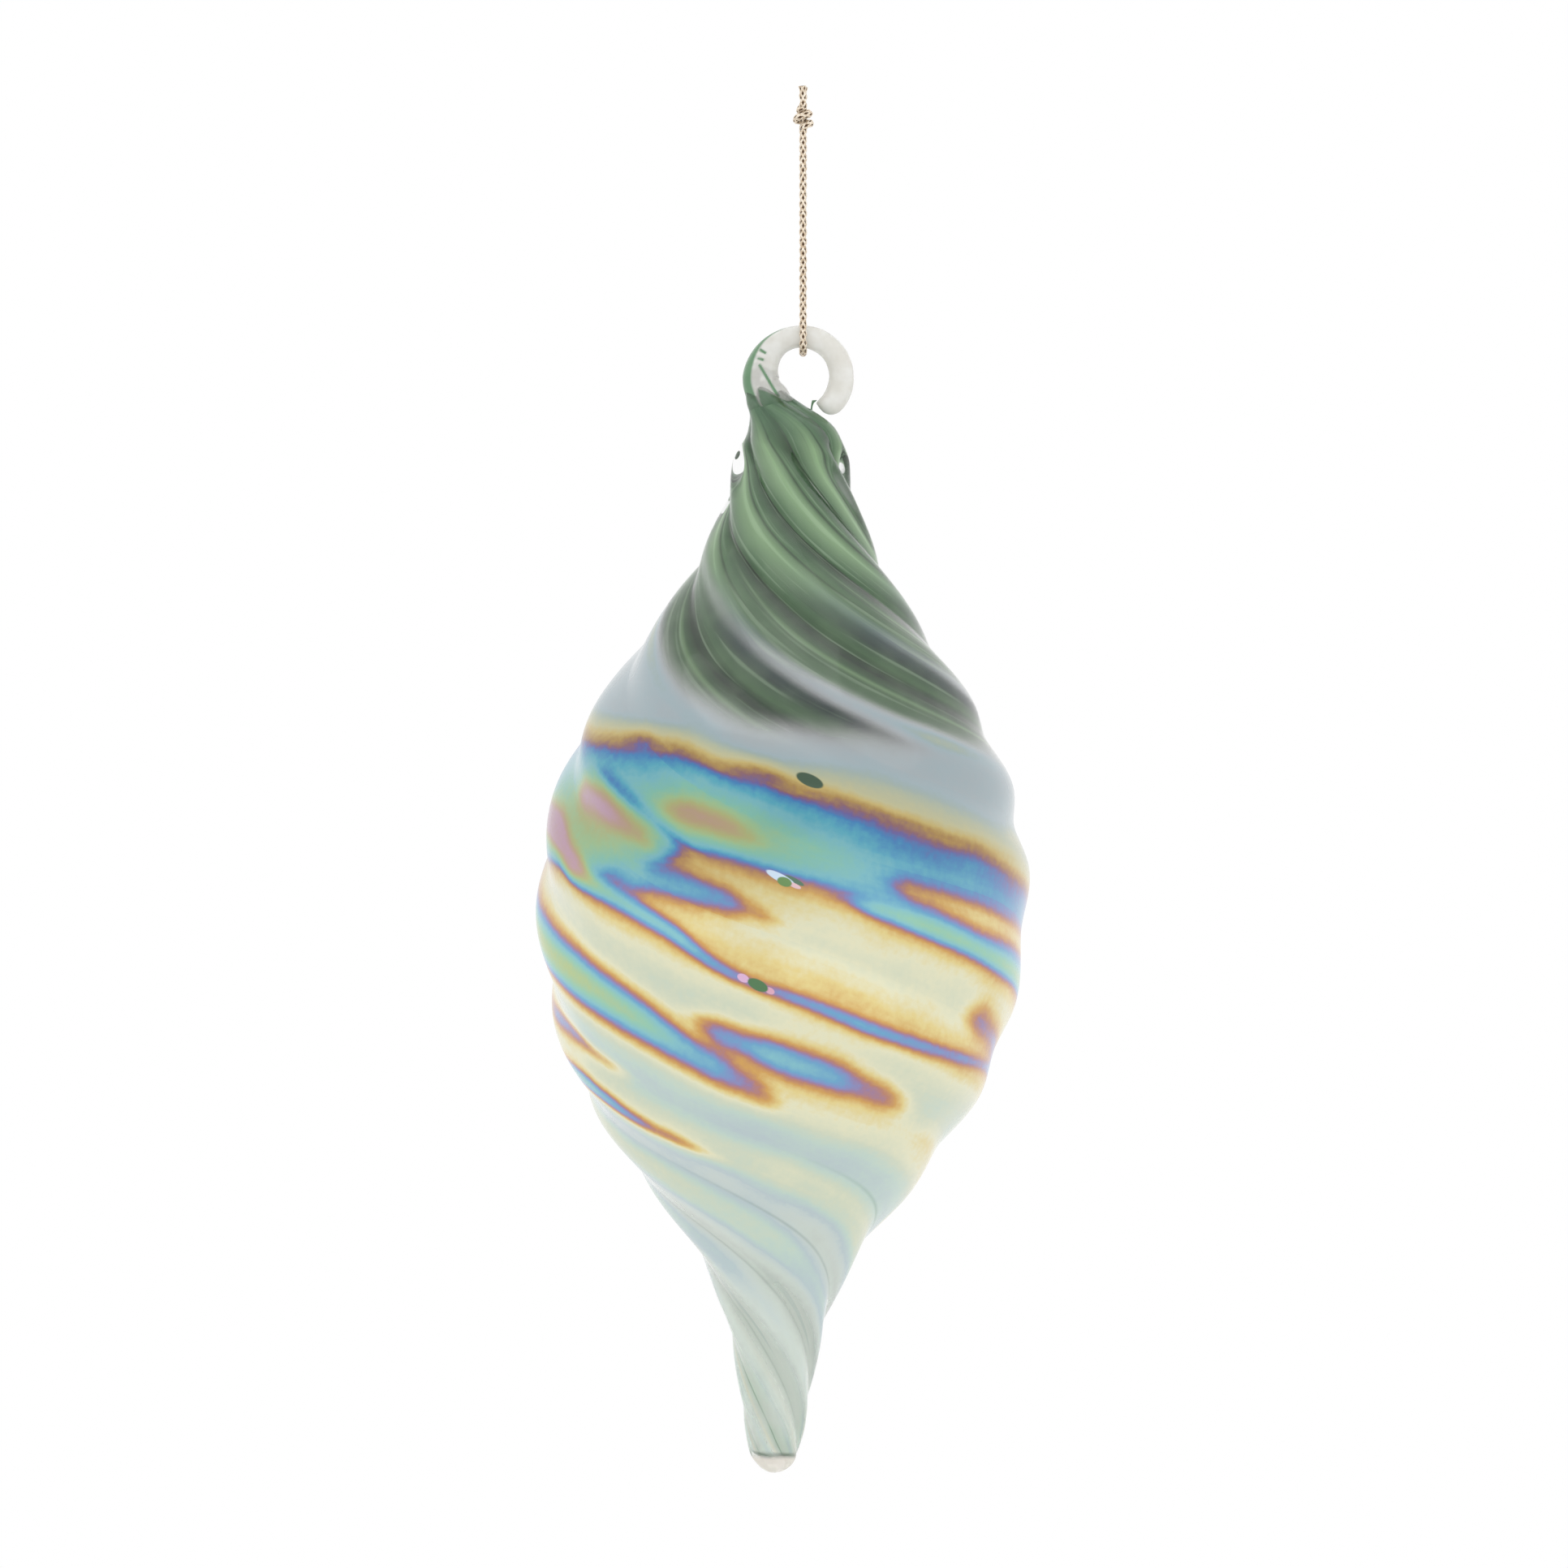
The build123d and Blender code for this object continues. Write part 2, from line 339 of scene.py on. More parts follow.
def add_cord(materials):
    """The loop, its overhand knot and its two short tails."""
    route = cord_route()
    line = smooth_line(route)
    loop = braid("cord_braid", [line], materials)

    knot_foot = Vector((0, 0, KNOT_LOW.z))
    wrap = smooth_line(scaled(KNOT_WRAP, knot_foot))
    through = smooth_line(scaled(KNOT_CORE, knot_foot))
    knot = braid("overhand_knot", [wrap, through], materials)

    lines = []
    for side in (-1, 1):
        foot = Vector((0, side * LEG_SPACING_AT_KNOT, KNOT_HIGH.z - 0.2 * MM))
        bend = foot + Vector((0, side * 0.15, 1.4)) * MM
        end = foot + Vector((side * 0.12, side * 0.5, (TAILS_HIGH.z - foot.z) / MM)) * MM
        lines.append(smooth_line([foot, bend, end]))
    tails = braid("cord_ends", lines, materials)

    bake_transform(loop)
    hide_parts("cord_loop")
    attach(knot, "knot")
    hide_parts("cord_knot")
    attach(tails, "knot")
    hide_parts("cord_tails")


# ---- Shape of the glass body ------------------------------------------------------
def end_rounding(height, low, low_cap, high, high_cap):
    """1 between two ends, falling to 0 as a quarter ellipse of each cap's height."""
    from_low = min((height - low) / low_cap, 1.0)
    from_high = min((high - height) / high_cap, 1.0)
    return sqrt(max(1 - (1 - from_low) ** 2, 0)) * sqrt(max(1 - (1 - from_high) ** 2, 0))


def front_angle(azimuth):
    """Radians from the front, towards the right-hand side."""
    return radians(azimuth + 90)


def rib_place(azimuth, height):
    """How many ribs round the body a point is, a whole number on each crest."""
    front = front_angle(azimuth)
    level = height + smooth_at(RIB_SAG, height) * cos(front) - smooth_at(RIB_LAG, height) * sin(front)
    level = min(max(level, 0), BODY_HEIGHT)
    return (azimuth - smooth_at(TWIST, level)) * RIB_COUNT / 360


def rib_profile(place, sharpness):
    """1 on a crest, -1 in a valley, the valleys narrower as the ribs get sharper."""
    soft = cos(2 * pi * place)
    sharp = 2 * abs(cos(pi * place)) - 1
    return mix(soft, sharp, sharpness)


def unevenness(azimuth, height, seed, size):
    """Slow hand-made variation, from -1 to 1 or so."""
    turn = radians(azimuth)
    radius = smooth_at(OUTLINE, height)
    place = Vector((radius * cos(turn), radius * sin(turn), height)) / size
    return 2 * noise.noise(place + Vector((seed, 0, 0)))


def skin_radius(azimuth, height):
    """Outer radius of the clear casing, with its ribs."""
    profile = rib_profile(rib_place(azimuth, height), smooth_at(RIB_SHARPNESS, height))
    depth = smooth_at(RIB_DEPTH, height) * (1 + 0.25 * unevenness(azimuth, height, 3, 30))
    return smooth_at(OUTLINE, height) + depth * profile


def core_radius(azimuth, height, inset=0.0):
    """Outer radius of the coloured core: it follows the ribs only faintly."""
    wall = mix(TIP_WALL, CASING_WALL, smoothstep(10, 50, height)) + 0.6 * smoothstep(120, 148, height)
    wall -= 1.5 * smoothstep(155, 163, height)
    faint = 0.25 * smooth_at(RIB_DEPTH, height) * cos(2 * pi * rib_place(azimuth, height))
    return smooth_at(OUTLINE, height) - wall + faint - inset


def hung(x, y, z):
    """A point of the upright body, in millimetres from its tip, where it hangs."""
    tilt = Matrix.Rotation(BODY_TILT, 3, "Y")
    return TIP + tilt @ Vector((x, y, z)) * MM


def lean_at(height, high_lean):
    """Sideways place of the axis, with high_lean taken off it at the neck's top."""
    return smooth_at(LEAN, height) - high_lean * smoothstep(162, 169, height)


def surface(radius_at, ends, rows, columns, inward=False, high_lean=0.0):
    """Closed surface: vertices, faces, and each vertex's azimuth and height."""
    low, low_cap, high, high_cap = ends
    steps = [(i + 0.5) / rows for i in range(rows)]
    eased = [t - 0.85 * sin(2 * pi * t) / (2 * pi) for t in steps]
    vertices, places = [], []
    for height in [low + (high - low) * t for t in eased]:
        rounding = end_rounding(height, *ends)
        twist = smooth_at(TWIST, height)
        lean = lean_at(height, high_lean)
        for j in range(columns):
            azimuth = 360 * j / columns + twist
            radius = radius_at(azimuth, height) * rounding
            turn = radians(azimuth)
            vertices.append(hung(lean + radius * cos(turn), radius * sin(turn), height))
            places.append((azimuth, height))
    faces = grid_faces(0, rows, columns)
    for height, ring in ((low, 0), (high, (rows - 1) * columns)):
        pole = len(vertices)
        vertices.append(hung(lean_at(height, high_lean), 0, height))
        places.append((0.0, height))
        for j in range(columns):
            corner = (ring + j, ring + (j + 1) % columns, pole)
            faces.append(corner if ring else corner[::-1])
    if inward:
        faces = [face[::-1] for face in faces]
    return vertices, faces, places


# ---- Lustre film ------------------------------------------------------------------
# Film thickness runs from 0 for none to 1 for the thickest.
# Heights in millimetres at degrees round from the front, positive to the right:
# the gold line, where the film has thinned to half ...
GOLD_LINE = [
    (-180, 102.7), (-135, 110), (-90, 114.7), (-45, 112.9), (-30, 112.2), (-16, 109.5), (0, 106.8),
    (15, 104.6), (26, 102.5), (40, 99.5), (55, 96.7), (70, 93.8), (90, 90.7), (135, 95), (180, 102.7),
]
# ... and the upper edge of the pale film, over which the neck is bare green glass.
FILM_EDGE = [
    (-180, 117), (-135, 125), (-90, 129.5), (-60, 126.0), (-40, 120.8), (-20, 115.4), (-5, 113.0),
    (10, 112.2), (30, 111.4), (60, 111), (90, 111), (135, 113), (180, 117),
]
# Thickness against millimetres below the gold line.
FILM_BELOW = [
    (0, 0.50), (1.0, 0.57), (2.5, 0.63), (5, 0.69), (9, 0.76), (13, 0.69), (15.5, 0.50), (17.5, 0.42),
    (20, 0.375), (30, 0.355), (40, 0.335), (45, 0.30), (50, 0.275), (60, 0.235), (70, 0.20), (82, 0.155),
    (100, 0.13), (125, 0.13),
]
# How deep the band of thick film is, and how thick, at degrees round.
BAND_DEPTH = [
    (-180, 1.1), (-90, 1.3), (-55, 1.35), (-40, 1.3), (-30, 1.12), (-20, 0.88), (0, 0.87), (20, 0.93),
    (40, 0.95), (90, 1.0), (180, 1.1),
]
BAND_STRENGTH = [(-180, 0.8), (-90, 1.0), (-50, 1.1), (-15, 1.0), (5, 0.85), (22, 0.58), (90, 0.6), (180, 0.8)]
# Streaks that follow the ribs: width, then (degrees, height, added thickness) along each,
# where a negative thickness thins the film.
STREAKS = [
    (2.5, [(-70, 106, 0), (-60, 105.5, 0.25), (-50, 104, 0.25), (-36, 99.5, 0.1), (-28, 96, 0)]),
    (2.0, [(-105, 105, 0.42), (-90, 103, 0.42), (-72, 100.5, 0.42), (-60, 96, 0.3), (-46, 91.5, 0)]),
    (2.2, [(-34, 105, 0), (-24, 103, 0.14), (-16, 101.5, 0.14), (0, 97.5, 0)]),
    (1.3, [(-60, 111, 0), (-48, 107.6, -0.12), (-36, 103.4, -0.14), (-26, 99.2, -0.14), (-18, 96, 0)]),
    (2.6, [
        (-46, 93.6, 0), (-36, 92.8, 0.2), (-24, 91.6, 0.27), (-14, 89.9, 0.24), (-6, 88.1, 0.12), (2, 86, 0),
    ]),
    (1.7, [(10, 91, 0), (22, 88.8, 0.18), (40, 85, 0.22), (60, 81, 0.22), (88, 76.5, 0.2), (105, 74, 0.2)]),
    (2.6, [(20, 93.8, 0), (32, 91.6, -0.18), (55, 87.3, -0.24), (88, 82.5, -0.24), (105, 80, -0.24)]),
    (2.0, [(62, 101, 0), (78, 99.5, 0.14), (105, 97, 0.14)]),
    (1.6, [
        (-66, 96, 0), (-56, 93.3, 0.28), (-40, 89.4, 0.28), (-26, 85, 0.26), (-16, 80.5, 0.2), (-6, 77.3, 0.17),
        (5, 75, 0.17), (20, 71.4, 0.2), (32, 69.1, 0.2), (50, 66.6, 0.16), (70, 64.7, 0.13), (105, 61.5, 0.13),
    ]),
    (3.8, [
        (-105, 88, 0.42), (-90, 85.5, 0.42), (-60, 78.2, 0.42), (-40, 72.4, 0.38), (-20, 65.6, 0.28),
        (-8, 61.8, 0.18), (4, 58, 0),
    ]),
    (3.2, [
        (-28, 73.5, 0), (-14, 69.6, 0.28), (0, 66.4, 0.36), (13, 63.9, 0.34), (27, 61.3, 0.24), (50, 57.2, 0),
    ]),
    (2.0, [(-105, 74, 0.25), (-90, 72, 0.25), (-70, 68.5, 0.27), (-56, 64.8, 0.2), (-42, 62, 0)]),
    (2.0, [
        (-105, 66.5, 0.42), (-90, 64, 0.42), (-70, 61, 0.38), (-60, 58.6, 0.34), (-50, 56, 0.28),
        (-40, 54, 0.2), (-12, 49, 0),
    ]),
    (3.0, [(48, 74, 0), (62, 71.5, 0.2), (75, 68.5, 0.2), (105, 60, 0.2)]),
    (2.0, [(-55, 115, 0), (-43, 114.3, 0.08), (-34, 113, 0)]),
    (2.0, [(-20, 111.5, 0), (-6, 109.5, 0.09), (6, 107.5, 0)]),
]


def round_from_front(azimuth):
    """Degrees from the front, between -180 and 180, positive to the right."""
    return (azimuth + 270) % 360 - 180


def streak_at(streak, degrees, height):
    """Thickness that one streak adds at a point; it narrows to its ends, with nothing beyond them."""
    width, stations = streak
    if not stations[0][0] < degrees < stations[-1][0]:
        return 0.0
    i = 0
    while degrees > stations[i + 1][0]:
        i += 1
    start, end = stations[i], stations[i + 1]
    part = (degrees - start[0]) / (end[0] - start[0])
    added = mix(start[2], end[2], smoothstep(0, 1, part))
    line = smooth_at([(place[0], place[1]) for place in stations], degrees)
    strongest = max(abs(place[2]) for place in stations)
    away = (height - line) / (width * mix(0.4, 1, abs(added) / strongest))
    return added * exp(-away * away)


def base_film(degrees, height):
    """Film thickness without the streaks."""
    line = smooth_at(GOLD_LINE, degrees)
    edge = smooth_at(FILM_EDGE, degrees)
    if height <= line:
        below = line - height
        stretch = mix(smooth_at(BAND_DEPTH, degrees), 1, smoothstep(16, 32, below))
        thickness = smooth_at(FILM_BELOW, below / stretch)
        return thickness + max(thickness - 0.5, 0) * (smooth_at(BAND_STRENGTH, degrees) - 1)
    if height > edge:
        return 0.18 * (1 - smoothstep(-1, 7, height - edge))
    pale_from = min(edge, line + mix(5, 9, smoothstep(-30, -5, degrees)))
    pale = 0.18 + 0.22 * smoothstep(pale_from, line + 1.5, height)
    return mix(0.5, pale, smoothstep(0, 2.5, height - line))


def film_at(azimuth, height):
    """Film thickness at a point of the skin, with a painted highlight on the crests above the film's edge and
    painted shade stripes along the ribs below the gold line; the streaks of the front repeat on the back.
    """
    degrees = round_from_front(azimuth)
    thickness = base_film(degrees, height) * mix(0.6, 1, smoothstep(12, 44, height))
    behind = smoothstep(80, 105, abs(degrees))
    if behind < 1:
        thickness += (1 - behind) * sum(streak_at(streak, degrees, height) for streak in STREAKS)
    if behind > 0:
        opposite = degrees - 180 if degrees > 0 else degrees + 180
        level = height + smooth_at(GOLD_LINE, opposite) - smooth_at(GOLD_LINE, degrees)
        thickness += behind * sum(streak_at(streak, opposite, level) for streak in STREAKS)
    rib = rib_place(azimuth, height)
    beyond = height - smooth_at(FILM_EDGE, degrees) - 4
    # Painted highlight: a silver-blue band along each crest just above the film's edge, put in as extra film.
    crest_highlight = exp(-(beyond / 11) ** 2) * max(cos(2 * pi * (rib + 0.04)), 0) ** 4 * smoothstep(-5, 0, beyond)
    below = smooth_at(GOLD_LINE, degrees) - height
    # Painted shade: the film thickened and thinned across each rib below the gold line, giving grey-blue
    # stripes along the ribs.
    pale = smoothstep(12, 30, below) * (1 - 0.6 * smoothstep(70, 96, below)) * cos(2 * pi * (rib - 0.15))
    thickness += 0.18 * crest_highlight + 0.06 * pale + 0.012 * unevenness(azimuth, height, 11, 9)
    return min(max(thickness, 0.0), 1.0)


def paint_places(obj, places):
    """Stores height and rib place for the materials."""
    ribs = [rib_place(azimuth, height) for azimuth, height in places]
    add_attribute(obj, "height", [height for azimuth, height in places])
    add_attribute(obj, "crest", [cos(2 * pi * rib) for rib in ribs])
    add_attribute(obj, "flank", [sin(2 * pi * rib) for rib in ribs])


def add_casing(material):
    """Clear outer layer with twisted ribs, and the cavity that the core fills."""
    outer_ends = (0, TIP_CAP, BODY_HEIGHT, HORN_CAP)
    vertices, faces, places = surface(skin_radius, outer_ends, 340, 252)
    inner = surface(
        lambda azimuth, height: core_radius(azimuth, height, CAVITY_INSET), CORE_ENDS, 90, 72,
        inward=True, high_lean=CORE_LEAN,
    )
    # Besides the real film, these values carry a painted highlight on the neck's crests and painted shade
    # stripes on the lower ribs.
    film = [film_at(azimuth, height) for azimuth, height in places] + [0.0] * len(inner[0])
    first = len(vertices)
    vertices += inner[0]
    faces += [tuple(first + k for k in face) for face in inner[1]]
    casing = new_object("casing_glass", vertices, faces, [material])
    paint_places(casing, places + inner[2])
    add_attribute(casing, "film", film)
    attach(casing, "glass")
    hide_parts("clear_casing")


def add_core(material):
    """Coloured inner bubble, closed and hollow."""
    vertices, faces, places = surface(core_radius, CORE_ENDS, 240, 168, high_lean=CORE_LEAN)
    low, low_cap, high, high_cap = CORE_ENDS
    inner_ends = (low + CORE_WALL, low_cap, high - CORE_WALL, high_cap - CORE_WALL)
    inner = surface(
        lambda azimuth, height: core_radius(azimuth, height, CORE_WALL), inner_ends, 90, 72,
        inward=True, high_lean=CORE_LEAN,
    )
    first = len(vertices)
    vertices += inner[0]
    faces += [tuple(first + k for k in face) for face in inner[1]]
    places += inner[2]
    core = new_object("core_glass", vertices, faces, [material])
    paint_places(core, places)
    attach(core, "glass")
    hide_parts("green_core")


# ---- Hook -------------------------------------------------------------------------
RING_X = -0.3
RING_RADIUS = 6.3
RING_Z = -HANG_DROP / MM - RING_RADIUS
HOOK_END_ANGLE = -60.0
HOOK_END_LENGTH = 2.4       # of the rounding, which leans to the inside of the ring
HOOK_END_ROUND = 1.7
# Rod radius at angles round the ring, from the free end to the root.
ROD_RADII = [(-60, 1.9), (-20, 1.95), (20, 1.9), (60, 1.8), (115, 1.8), (150, 2.3), (180, 2.85)]
# The root below the ring, as (x, z, radius), sunk into the neck's glass.
ROOT = [(-6.55, -39.7, 2.85), (-6.1, -40.9, 3.0), (-5.4, -42.1, 3.2), (-4.5, -43.4, 3.0), (-3.8, -44.6, 2.0)]
# Edge of the green inside the root, as (x, z): its pointed tip, then down its right side.
FLAME_EDGE = [(-7.05, -40.8), (-5.9, -41.2), (-4.0, -42.2), (-2.9, -42.9), (0.0, -44.1)]
FLAME_LEFT_EDGE = [(-7.05, -40.8), (-6.6, -42.6), (-5.4, -45.0)]
# Green inclusions in the milky glass: start and end (x, z), and half width.
INCLUSIONS = [
    ((-6.75, -37.1), (-3.9, -41.9), 0.24),
    ((-6.6, -34.6), (-5.95, -35.1), 0.22),
    ((-6.95, -36.0), (-6.3, -36.2), 0.2),
]


def line_height(line, x):
    """z of a sloping line of (x, z) points at x."""
    i = 0
    while i < len(line) - 2 and x > line[i + 1][0]:
        i += 1
    (x0, z0), (x1, z1) = line[i], line[i + 1]
    return z0 + (z1 - z0) * (x - x0) / (x1 - x0)


def distance_from(x, z, start, end):
    """Distance of (x, z) from the straight line between two points."""
    dx, dz = end[0] - start[0], end[1] - start[1]
    t = min(max(((x - start[0]) * dx + (z - start[1]) * dz) / (dx * dx + dz * dz), 0), 1)
    return sqrt((x - start[0] - t * dx) ** 2 + (z - start[1] - t * dz) ** 2)


def hook_green(x, z, outward, angle):
    """How green the hook's glass is: a strip up its outside, the flame in its root, and inclusions."""
    edge = mix(0.9, 0.45, smoothstep(100, 175, angle))
    strip = smoothstep(edge, edge + 0.15, outward) * smoothstep(88, 112, angle) * smoothstep(250, 240, angle)
    flame = smoothstep(0.25, -0.1, z - line_height(FLAME_EDGE, x)) * smoothstep(-7.2, -6.9, x)
    if z < -40.8 and x < -5:
        left_edge = [(z0, x0) for x0, z0 in reversed(FLAME_LEFT_EDGE)]
        flame *= smoothstep(-0.2, 0.15, x - line_height(left_edge, z))
    flecks = max(
        smoothstep(width + 0.12, width - 0.08, distance_from(x, z, start, end))
        for start, end, width in INCLUSIONS
    )
    return max(strip, flame, flecks)


def hook_spine():
    """Points, radii and headings along the rod, from the free end to inside the shoulder."""
    spine = []
    for step in range(9):
        rise = step / 8
        angle = radians(HOOK_END_ANGLE) + (1 - cos(rise * pi / 2)) * HOOK_END_LENGTH / RING_RADIUS
        lost = HOOK_END_ROUND * (1 - sin(rise * pi / 2))
        spine.append((angle, smooth_at(ROD_RADII, HOOK_END_ANGLE) - lost, RING_RADIUS - 0.75 * lost))
    steps = 110
    start = spine[-1][0]
    for step in range(1, steps + 1):
        angle = start + (pi - start) * step / steps
        spine.append((angle, smooth_at(ROD_RADII, min(angle * 180 / pi, 180)), RING_RADIUS))
    points = []
    for angle, radius, bend in spine:
        place = (RING_X + bend * cos(angle), RING_Z + bend * sin(angle))
        points.append((place, radius, (-sin(angle), cos(angle))))
    stations = [(RING_X - RING_RADIUS, RING_Z, ROD_RADII[-1][1])] + ROOT
    for i in range(len(stations) - 1):
        for step in range(1, 13):
            place = i + step / 12
            x = smooth_at([(k, station[0]) for k, station in enumerate(stations)], place)
            z = smooth_at([(k, station[1]) for k, station in enumerate(stations)], place)
            radius = smooth_at([(k, station[2]) for k, station in enumerate(stations)], place)
            last_x, last_z = points[-1][0]
            points.append(((x, z), radius, (x - last_x, z - last_z)))
    return points


def add_hook(material):
    """Curled glass rod, slightly uneven as drawn hot glass is."""
    sides = 96
    spine = hook_spine()
    vertices, faces, green = [], [], []
    for (x, z), radius, heading in spine:
        ahead = Vector((heading[0], 0, heading[1])).normalized()
        side = Vector((0, 1, 0))
        out = side.cross(ahead)
        for k in range(sides):
            turn = 2 * pi * k / sides
            push = out * cos(turn) + side * sin(turn)
            wobble = 1 + 0.03 * noise.noise(Vector((x, 6 * push.y, z)) / 3)
            place = Vector((x, 0, z)) + push * radius * wobble
            vertices.append(place * MM)
            angle = atan2(z - RING_Z, x - RING_X) * 180 / pi % 360
            green.append(hook_green(place.x, place.z, cos(turn), angle))
    faces += grid_faces(0, len(spine), sides)
    faces.append(tuple(reversed(range(sides))))
    faces.append(tuple((len(spine) - 1) * sides + k for k in range(sides)))
    hook = new_object("hook_glass", vertices, faces, [material])
    add_attribute(hook, "green", green)
    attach(hook, "glass")
    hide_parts("hanging_hook")


def add_whisker(material):
    """Thread of glass from the rod's blunt end to the shoulder."""
    points = [
        (1.8, -42.35, 0.4), (1.5, -42.75, 0.2), (1.38, -43.2, 0.14),
        (1.3, -43.7, 0.14), (1.25, -44.2, 0.28), (1.2, -44.8, 0.7),
    ]                       # x, z and radius
    sides = 14
    vertices, faces = [], []
    for x, z, radius in points:
        for k in range(sides):
            turn = 2 * pi * k / sides
            vertices.append(Vector((x + radius * cos(turn), radius * sin(turn), z)) * MM)
    faces += [face[::-1] for face in grid_faces(0, len(points), sides)]
    faces.append(tuple(range(sides)))
    faces.append(tuple((len(points) - 1) * sides + k for k in reversed(range(sides))))
    whisker = new_object("glass_whisker", vertices, faces, [material])
    add_attribute(whisker, "green", [1.0] * len(vertices))
    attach(whisker, "glass")


# ---- Materials --------------------------------------------------------------------
def new_material(name):
    material = bpy.data.materials.new(name)
    material.use_nodes = True
    tree = material.node_tree
    return material, tree.nodes, tree.links, tree.nodes["Principled BSDF"]


def srgb(red, green, blue):
    """Linear colour from 0-255 screen values."""
    return tuple((c / 255) ** 2.2 for c in (red, green, blue)) + (1.0,)


def attribute(nodes, name):
    node = nodes.new("ShaderNodeAttribute")
    node.attribute_name = name
    return node.outputs["Fac"]


def math(nodes, links, operation, a, b):
    """Math node on sockets or numbers."""
    node = nodes.new("ShaderNodeMath")
    node.operation = operation
    for socket, value in zip(node.inputs, (a, b)):
        if isinstance(value, (int, float)):
            socket.default_value = value
        else:
            links.new(value, socket)
    return node.outputs[0]


def ramp(nodes, links, value, stops):
    """Colour ramp with (place, colour) stops."""
    node = nodes.new("ShaderNodeValToRGB")
    elements = node.color_ramp.elements
    while len(elements) < len(stops):
        elements.new(0.5)
    for element, (place, colour) in zip(elements, stops):
        element.position = place
        element.color = colour
    links.new(value, node.inputs["Fac"])
    return node.outputs["Color"]


def grey(value):
    return (value, value, value, 1.0)


def fade(nodes, links, value, low, high, least=0.0):
    """Least below low, 1 above high, smooth between."""
    node = nodes.new("ShaderNodeMapRange")
    node.interpolation_type = "SMOOTHSTEP"
    links.new(value, node.inputs["Value"])
    node.inputs["From Min"].default_value = low
    node.inputs["From Max"].default_value = high
    node.inputs["To Min"].default_value = least
    return node.outputs["Result"]


def mix_colours(nodes, links, factor, a, b):
    node = nodes.new("ShaderNodeMix")
    node.data_type = "RGBA"
    links.new(factor, node.inputs["Factor"])
    for socket, value in ((node.inputs[6], a), (node.inputs[7], b)):
        if isinstance(value, tuple):
            socket.default_value = value
        else:
            links.new(value, socket)
    return node.outputs[2]


def noise_value(nodes, links, scale, detail=3.0):
    coordinates = nodes.new("ShaderNodeTexCoord")
    node = nodes.new("ShaderNodeTexNoise")
    node.inputs["Scale"].default_value = scale
    node.inputs["Detail"].default_value = detail
    links.new(coordinates.outputs["Object"], node.inputs["Vector"])
    return node.outputs["Fac"]


# Interference colours of the film as it gets thicker.
FILM_COLOURS = [
    (0.00, srgb(94, 118, 102)), (0.10, srgb(96, 124, 140)), (0.20, srgb(138, 162, 170)),
    (0.30, srgb(166, 174, 151)), (0.38, srgb(185, 181, 140)), (0.44, srgb(189, 168, 102)),
    (0.49, srgb(163, 130, 70)), (0.525, srgb(129, 89, 94)), (0.55, srgb(94, 85, 146)),
    (0.58, srgb(49, 118, 174)), (0.625, srgb(74, 157, 178)), (0.66, srgb(106, 170, 180)),
    (0.71, srgb(117, 176, 157)), (0.77, srgb(144, 178, 130)), (0.83, srgb(161, 164, 108)),
    (0.89, srgb(168, 146, 112)), (0.94, srgb(172, 140, 129)), (1.00, srgb(176, 140, 159)),
]
# Paler colours where the film lies over the milky lower body.
LOW_FILM_COLOURS = [
    (0.00, srgb(236, 252, 236)), (0.13, srgb(226, 244, 228)), (0.19, srgb(178, 200, 206)),
    (0.24, srgb(192, 214, 202)), (0.29, srgb(208, 216, 192)), (0.35, srgb(230, 228, 194)),
    (0.40, srgb(228, 208, 138)), (0.455, srgb(210, 160, 84)), (0.50, srgb(184, 126, 104)),
    (0.53, srgb(156, 122, 158)), (0.56, srgb(128, 142, 196)), (0.60, srgb(104, 164, 204)),
    (0.66, srgb(130, 192, 202)), (0.73, srgb(146, 200, 176)), (0.81, srgb(178, 198, 140)),
    (0.90, srgb(196, 176, 140)), (1.00, srgb(200, 164, 176)),
]


# Painted reflections on the front: dark green ovals mirroring the camera's opening, two with pale painted
# glints
# beside them: (x, z) of the centre, half length, half width, degrees of slope, and colour.
CAMERA_REFLECTION_OVALS = [
    ((0.9, -101.75), 2.3, 0.95, 24, srgb(58, 82, 62)),
    ((-1.4, -116.75), 1.7, 0.4, 28, srgb(84, 116, 96)),
    ((-3.5, -116.35), 2.5, 0.62, 27, srgb(205, 224, 242)),
    ((-1.4, -117.5), 1.1, 0.35, 24, srgb(226, 190, 196)),
    ((-2.9, -116.95), 1.2, 0.72, 20, srgb(104, 142, 84)),
    ((-9.1, -131.4), 1.0, 0.62, 28, srgb(222, 180, 216)),
    ((-5.1, -133.3), 0.8, 0.5, 28, srgb(222, 170, 190)),
    ((-6.9, -132.45), 1.75, 0.85, 27, srgb(78, 120, 78)),
]


def oval(nodes, links, centre, half_length, half_width, slope):
    """1 inside an oval on the front, 0 outside."""
    coordinates = nodes.new("ShaderNodeTexCoord")
    node = nodes.new("ShaderNodeMapping")
    node.vector_type = "TEXTURE"
    links.new(coordinates.outputs["Object"], node.inputs["Vector"])
    node.inputs["Location"].default_value = (centre[0] * MM, -0.035, centre[1] * MM)
    node.inputs["Rotation"].default_value = (0, radians(slope), 0)
    node.inputs["Scale"].default_value = (half_length * MM, 0.03, half_width * MM)
    length = nodes.new("ShaderNodeVectorMath")
    length.operation = "LENGTH"
    links.new(node.outputs["Vector"], length.inputs[0])
    return math(nodes, links, "SUBTRACT", 1.0, fade(nodes, links, length.outputs["Value"], 0.85, 1.05))


